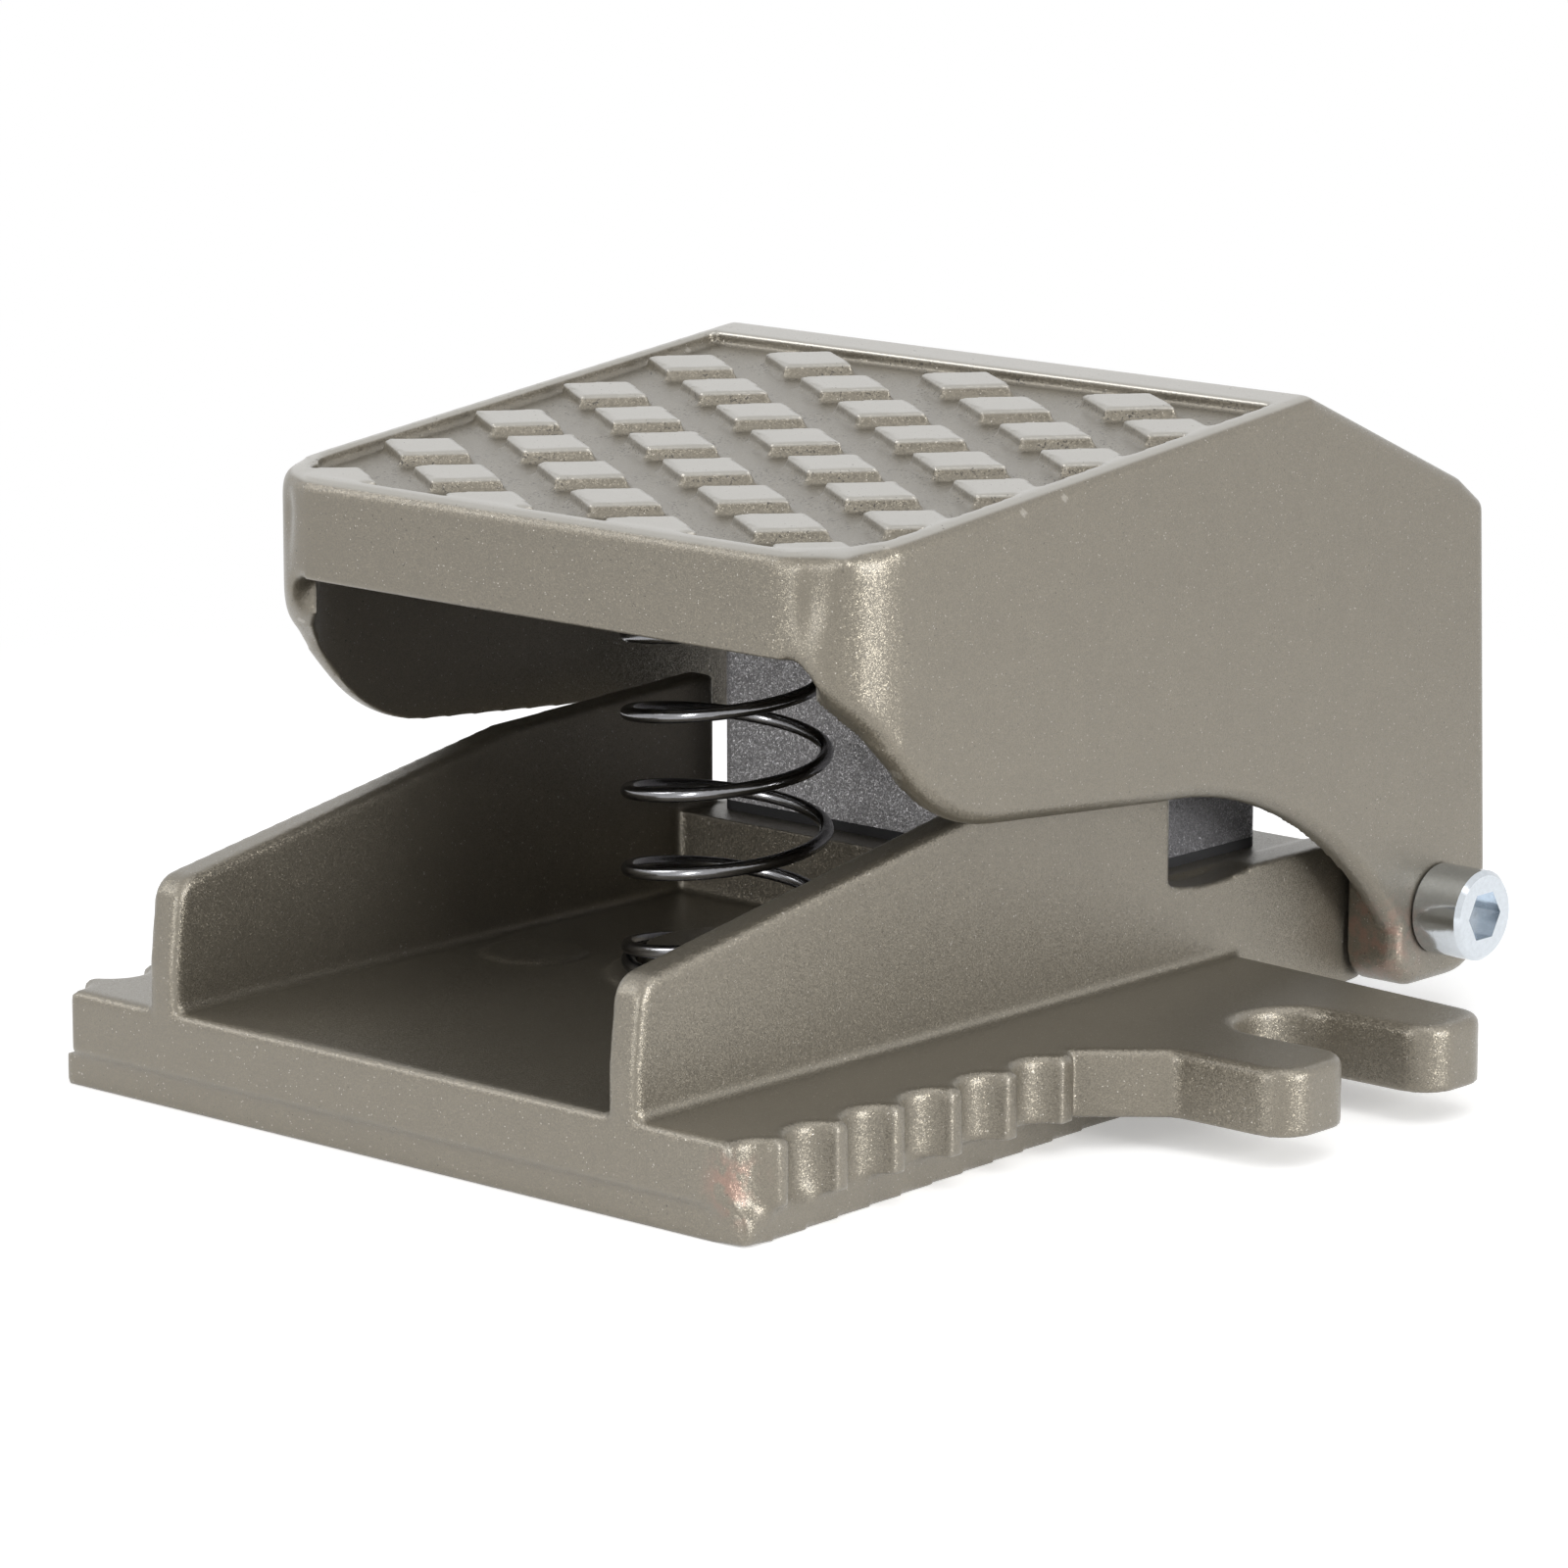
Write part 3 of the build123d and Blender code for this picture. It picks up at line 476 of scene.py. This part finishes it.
def cast_paint(name, dirt, stain_centre, stain_radius, tread=False):
    """Champagne metallic paint on a casting: painted edge highlights, dirt specks, painted shade in
    inner corners, and a red stain.

    The treadle's has wear, made paler as a painted sheen, on the tops of its blocks and is dirtier
    between them; the base's has light nibs instead.
    """
    material, w, shader = new_material(name, CAST_METALLIC, CAST_ROUGHNESS, **CAST_COAT)
    tilt, amount, sheen = CAST_TILT, dirt, CAST_ROUGHNESS
    if tread:
        level = tread_level(w)
        worn_and_sheen = w.ramp(level, *WORN_AND_SHEEN_LEVEL)
        field = w.times(w.times(rim_inside(w), w.ramp(level, *FIELD_LEVEL)),
                        w.math("SUBTRACT", 1.0, worn_and_sheen))
        tilt = w.math("SUBTRACT", tilt, w.times(worn_and_sheen, WORN_TILT))
        amount = w.math("ADD", amount, w.times(field, FIELD_DIRT))
        sheen = w.math("SUBTRACT", sheen, w.times(worn_and_sheen, WORN_SHEEN))
    flake = place_group(w, FLAKE, Colour=rgba(CAST_PAINT), Flake=rgba(CAST_FLAKE), Tilt=tilt,
                        **CAST_GRAIN)
    edge = place_group(w, EDGE, **CAST_EDGES)
    specks = place_group(w, SPECKS, Size=DIRT_SIZE, Amount=amount)
    # Painted highlight: outer edges lightened by their curvature
    colour = w.cover(flake["Colour"], CAST_HIGHLIGHT_AND_NIB, edge["Edge"], EDGE_HIGHLIGHT_SHARE)
    if tread:
        # Wear on the block tops, lightened further as a painted sheen
        colour = w.cover(colour, CAST_WORN_AND_SHEEN, worn_and_sheen, WORN_AND_SHEEN_SHARE)
    plain, gain = MOTTLE_SHADE
    colour = w.shade(colour, plain, specks["Mottle"], gain)
    colour = w.cover(colour, CAST_STAIN, stain_mask(w, stain_centre, stain_radius), STAIN_SHARE)
    if not tread:
        nibs = place_group(w, SPECKS, **NIBS)
        colour = w.cover(colour, CAST_HIGHLIGHT_AND_NIB, nibs["Specks"], NIB_SHARE)
    # Dirt specks, and painted shade darkening the inner corners
    dirt_and_shade = w.math("MAXIMUM", specks["Specks"], w.times(edge["Corner"], CORNER_SHADE * dirt))
    w.link(w.cover(colour, CAST_DIRT_AND_SHADE, dirt_and_shade, DIRT_AND_SHADE_SHARE), shader.inputs["Base Color"])
    w.link(w.math("ADD", sheen, w.times(dirt_and_shade, DIRT_SHEEN)), shader.inputs["Roughness"])
    bump(w, shader, w.noise(PEEL_SCALE), PEEL_DEPTH, under=flake["Normal"])
    return material


def body_paint():
    """Dark grey speckled coating of the valve body, with painted highlights on its edges and
    painted shade darkening its sides.
    """
    material, w, shader = new_material("body_paint", BODY_METALLIC, BODY_ROUGHNESS)
    flake = place_group(w, FLAKE, Colour=rgba(BODY_PAINT), Flake=rgba(BODY_SPECKLE_AND_HIGHLIGHT), **BODY_GRAIN)
    edge = place_group(w, EDGE, **BODY_EDGES)
    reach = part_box("valve_body")[1][0]
    side = w.ramp(w.math("ABSOLUTE", w.place_parts()["X"]), *(reach - inset for inset in BODY_SIDE_SHADE))
    # Painted highlight: the body's edges lightened by their curvature
    edged = w.cover(flake["Colour"], BODY_SPECKLE_AND_HIGHLIGHT, edge["Edge"], BODY_EDGE_HIGHLIGHT_SHARE)
    # Painted shade: the body's sides darkened towards black
    w.link(w.cover(edged, BLACK_OXIDE_AND_SHADE, side, BODY_SIDE_SHADE_SHARE), shader.inputs["Base Color"])
    w.link(flake["Normal"], shader.inputs["Normal"])
    return material


def metal(name, colour, roughness, stretch, scale, depth):
    """Bare or plated metal with fine marks."""
    material, w, shader = new_material(name, 1.0, roughness)
    marks = place_group(w, GRAIN, Stretch=stretch, Scale=scale)["Height"]
    specks = place_group(w, SPECKS, **METAL_SPECKS)
    plain, gain = METAL_SHADE
    tint = w.shade(rgba(colour), plain, marks, gain)
    tint = w.cover(tint, BLACK_OXIDE_AND_SHADE, specks["Specks"], METAL_SPECK_SHARE)
    w.link(tint, shader.inputs["Base Color"])
    plain, gain = METAL_SHEEN
    w.link(w.math("ADD", roughness + plain, w.times(specks["Mottle"], gain)),
           shader.inputs["Roughness"])
    bump(w, shader, marks, depth)
    return material


def rubber():
    """Black rubber with a little dust and grit."""
    material, w, shader = new_material("seal_rubber", 0.0, RUBBER_ROUGHNESS)
    specks = place_group(w, SPECKS, **RUBBER_SPECKS)
    w.link(w.cover(rgba(RUBBER), RUBBER_DUST, specks["Mottle"], RUBBER_DUST_SHARE),
           shader.inputs["Base Color"])
    bump(w, shader, specks["Specks"], RUBBER_BUMP)
    return material


def dress(node, material):
    """Gives a CAD node one material on all its faces."""
    data = nodes[node].data
    data.materials.clear()
    data.materials.append(material)


def soften(node, width):
    """Breaks the sharp edges of a machined CAD node."""
    bevel = nodes[node].modifiers.new("break", "BEVEL")
    bevel.width = width
    bevel.segments = BREAK_SEGMENTS
    bevel.limit_method = "ANGLE"
    bevel.angle_limit = BREAK_ANGLE


def add_object(name, data):
    """A new object in the scene."""
    new = bpy.data.objects.new(name, data)
    bpy.context.scene.collection.objects.link(new)
    return new


def vertex_places(mesh):
    """The vertices' places, one row of x, y and z for each."""
    places = np.empty(len(mesh.vertices) * 3)
    mesh.vertices.foreach_get("co", places)
    return places.reshape(-1, 3)


def move_vertices(mesh, places):
    """Moves the vertices to these places."""
    mesh.vertices.foreach_set("co", places.ravel())
    mesh.update()


def fading(value, none, full):
    """0 where the value is at none or beyond it, 1 at full and beyond, straight between them."""
    return np.clip((value - none) / (full - none), 0.0, 1.0)


def round_corners(mesh):
    """Rounds the treadle's chamfered front corners, as if cast, and dents them near the front.

    The depths below the front, the side and the chamfer are joined into one by a soft minimum.
    Returns the vertices of the corners' skin, which are smoothed.
    """
    low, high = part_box("pedal")
    places = vertex_places(mesh)
    across = np.abs(places[:, 0])
    gaps = np.stack([places[:, 1] - low[1], high[0] - across])
    gaps = np.vstack([gaps, (gaps.sum(axis=0) - CORNER_CHAMFER) / math.sqrt(2)])
    inward = np.array([[0.0, 1.0], [-1.0, 0.0], [-math.sqrt(0.5), math.sqrt(0.5)]])
    depth = gaps.min(axis=0)
    shares = np.exp(-(gaps - depth) / CORNER_ROUNDING)
    slope = (inward.T @ shares) / shares.sum(axis=0)
    softened = CORNER_ROUNDING * np.log(shares.sum(axis=0)) / (slope ** 2).sum(axis=0)
    move = slope * softened * fading(depth, CORNER_REACH, CORNER_SKIN)
    beside = (high[0] - CORNER_CHAMFER + DENT_OFFSET - across) / DENT_WIDTH
    plane = high[2] - (high[1] - RIDGE_SETBACK - places[:, 1]) * math.tan(TREAD_SLOPE)
    below = plane - places[:, 2]
    dent = DENT_DEPTH * np.exp(-beside ** 2) * fading(depth, *DENT_SKIN)
    dent *= fading(below, *DENT_START) * fading(below, *DENT_END)
    places[:, 0] += np.sign(places[:, 0]) * (move[0] - dent * math.sin(DENT_TURN))
    places[:, 1] += move[1] + dent * math.cos(DENT_TURN)
    move_vertices(mesh, places)
    near = (gaps[2] < CORNER_NEAR) & (depth < CORNER_SKIN) & (below < CORNER_DROP)
    return np.nonzero(near)[0].tolist()


def step_rim(mesh):
    """Sets the base's lower rim back from the flange along the front, with a soft step."""
    places = vertex_places(mesh)
    depth = places[:, 1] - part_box("base")[0][1]
    turn = fading(places[:, 2], RIM_TOP, RIM_TOP - RIM_TURN)
    soft_turn = turn * turn * (3.0 - 2.0 * turn)
    places[:, 1] += RIM_STEP * soft_turn * fading(depth, RIM_WALL, 0.0)
    move_vertices(mesh, places)


def near_spots(mesh):
    """The base's vertices near the bottoms of its first grips, each with how close it is."""
    places = vertex_places(mesh)
    close = np.zeros(len(places))
    for *centre, radius in GRIP_SPOTS:
        away = np.linalg.norm(places - np.array(centre), axis=1)
        close = np.maximum(close, fading(away, radius, radius * GRIP_CORE))
    return [(int(index), float(close[index])) for index in np.nonzero(close)[0]]


def add_smooth(piece, name, passes):
    """A smoothing modifier on a piece."""
    smooth = piece.modifiers.new(name, "SMOOTH")
    smooth.factor = SMOOTH_FACTOR
    smooth.iterations = passes
    return smooth


def soft_cast(node, body, material):
    """A copy of a cast node with soft edges, which stands for it."""
    piece = add_object(f"{node}_cast", nodes[node].data.copy())
    remesh = piece.modifiers.new("skin", "REMESH")
    remesh.mode = "VOXEL"
    remesh.voxel_size = CAST_VOXEL[node]
    remesh.use_smooth_shade = True
    add_smooth(piece, "soft", CAST_PASSES)
    shape = piece.evaluated_get(bpy.context.evaluated_depsgraph_get())
    mesh = bpy.data.meshes.new_from_object(shape)
    piece.modifiers.clear()
    piece.data = mesh
    group = piece.vertex_groups.new(name="soft")
    if node == "pedal":
        group.add(round_corners(mesh), 1.0, "REPLACE")
    else:
        step_rim(mesh)
        for index, share in near_spots(mesh):
            group.add([index], share, "REPLACE")
    add_smooth(piece, "corners", CORNER_PASSES).vertex_group = "soft"
    mesh.materials.clear()
    mesh.materials.append(material)
    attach(piece, body)
    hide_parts(node)


def live_spring(node, axis):
    """A copy of a spring that stands for it, with its transform baked in."""
    spring = add_object(f"{node}_coil", nodes[node].data.copy())
    low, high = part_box(node)
    start, end = (low + high) / 2, (low + high) / 2
    start[axis], end[axis] = low[axis], high[axis]
    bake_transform(spring)
    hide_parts(node)


def towards(azimuth, elevation):
    """The direction from the valve to this azimuth and elevation, in degrees."""
    turn = math.radians(azimuth)
    rise = math.radians(elevation)
    flat = math.cos(rise)
    return Vector((math.sin(turn) * flat, -math.cos(turn) * flat, math.sin(rise)))


def place_camera():
    """The camera, upright, looking at the target."""
    data = bpy.data.cameras.new("camera")
    data.lens = LENS
    data.sensor_width = SENSOR
    data.clip_start = NEAR_CLIP
    camera = add_object("camera", data)
    camera.location = TARGET + towards(AZIMUTH, ELEVATION) * DISTANCE
    tip = math.radians(90) - math.radians(ELEVATION)
    camera.rotation_euler = (tip, 0.0, math.radians(AZIMUTH))
    bpy.context.scene.camera = camera


def soft_light(name, azimuth, elevation, distance, width, height, power):
    """A soft box that looks at the middle of the valve from a direction round it."""
    data = bpy.data.lights.new(name, "AREA")
    data.shape = "RECTANGLE"
    data.size = width
    data.size_y = height
    data.energy = power
    light = add_object(name, data)
    way = towards(azimuth, elevation)
    light.location = TARGET + way * distance
    light.rotation_euler = way.to_track_quat("Z", "Y").to_euler()


def seen_rays(w):
    """1 for rays that show the surroundings: straight from the camera, or by a gloss or glass."""
    path = w.node("ShaderNodeLightPath").outputs
    mirrored = w.math("MAXIMUM", path["Is Glossy Ray"], path["Is Transmission Ray"])
    return w.math("MAXIMUM", path["Is Camera Ray"], mirrored)


def floor_white():
    """Pale matt floor that keeps the valve's shadow and turns plain white away from it."""
    material, w, shader = new_material("floor", 0.0, FLOOR_ROUGHNESS, Specular_IOR_Level=0.0)
    shader.inputs["Base Color"].default_value = rgba(FLOOR_WHITE)
    shader.inputs["Emission Color"].default_value = rgba(WHITE)
    w.link(w.times(seen_rays(w), FLOOR_LIFT), shader.inputs["Emission Strength"])
    away = w.vector("LENGTH", w.node("ShaderNodeNewGeometry").outputs["Position"])
    white = w.node("ShaderNodeEmission")
    blend = w.node("ShaderNodeMixShader")
    w.link(w.times(w.ramp(away, *FLOOR_FADE), seen_rays(w)), blend.inputs[0])
    w.link(shader.outputs["BSDF"], blend.inputs[1])
    w.link(white.outputs["Emission"], blend.inputs[2])
    output = material.node_tree.get_output_node("ALL")
    w.link(blend.outputs[0], output.inputs["Surface"])
    return material


def studio():
    """Pale floor, white surroundings and soft boxes."""
    mesh = bpy.data.meshes.new("floor")
    quarters = ((-1, -1), (1, -1), (1, 1), (-1, 1))
    corners = [(x * FLOOR_REACH, y * FLOOR_REACH, 0) for x, y in quarters]
    mesh.from_pydata(corners, [], [(0, 1, 2, 3)])
    mesh.materials.append(floor_white())
    floor = add_object("floor", mesh)
    floor.location.z = -FLOOR_DROP
    world = bpy.data.worlds.new("studio")
    world.use_nodes = True
    world.node_tree.nodes.clear()
    w = Wiring(world.node_tree)
    sky = w.node("ShaderNodeBackground")
    sky.inputs["Color"].default_value = rgba(WHITE)
    strength = w.math("ADD", SKY_LIGHT, w.times(seen_rays(w), 1.0 - SKY_LIGHT))
    w.link(strength, sky.inputs["Strength"])
    w.link(sky.outputs["Background"], w.node("ShaderNodeOutputWorld").inputs["Surface"])
    bpy.context.scene.world = world
    for name, values in SOFT_BOXES.items():
        soft_light(name, *values)
    bpy.context.scene.view_settings.view_transform = "Standard"


paint_base = cast_paint("cast_paint_base", dirt=0.3,
                        stain_centre=(47.3 * MM, -65 * MM, 6 * MM), stain_radius=5 * MM)
paint_pedal = cast_paint("cast_paint_treadle", dirt=0.35, tread=True,
                         stain_centre=(38 * MM, 48.5 * MM, 10 * MM), stain_radius=8 * MM)
materials = {name: metal(name, *values) for name, values in METALS.items()}
materials["rubber"] = rubber()
materials["body"] = body_paint()

soft_cast("base", "frame", paint_base)
soft_cast("pedal", "treadle", paint_pedal)

DRESSED = {
    "body": ("valve_body",),
    "zinc": ("pivot_screws", "pivot_sleeves", "pivot_washers", "pivot_locknuts", "body_washers",
             "body_screws", "rear_cap_screws", "adjusting_locknut"),
    "spring_steel": ("pedal_return_spring", "spool_return_spring"),
    "aluminium": ("rear_cap", "spool"),
    "rubber": ("body_gasket", "rear_cap_gasket", "rod_seal", "spool_orings"),
    "bright_steel": ("pusher",),
    "black_steel": ("adjusting_screw",),
}
for kind, names in DRESSED.items():
    for name in names:
        dress(name, materials[kind])
soften("valve_body", BODY_BREAK)
for name in DRESSED["zinc"]:
    soften(name, FASTENER_BREAK)
live_spring("pedal_return_spring", Z)
live_spring("spool_return_spring", Y)

place_camera()
studio()
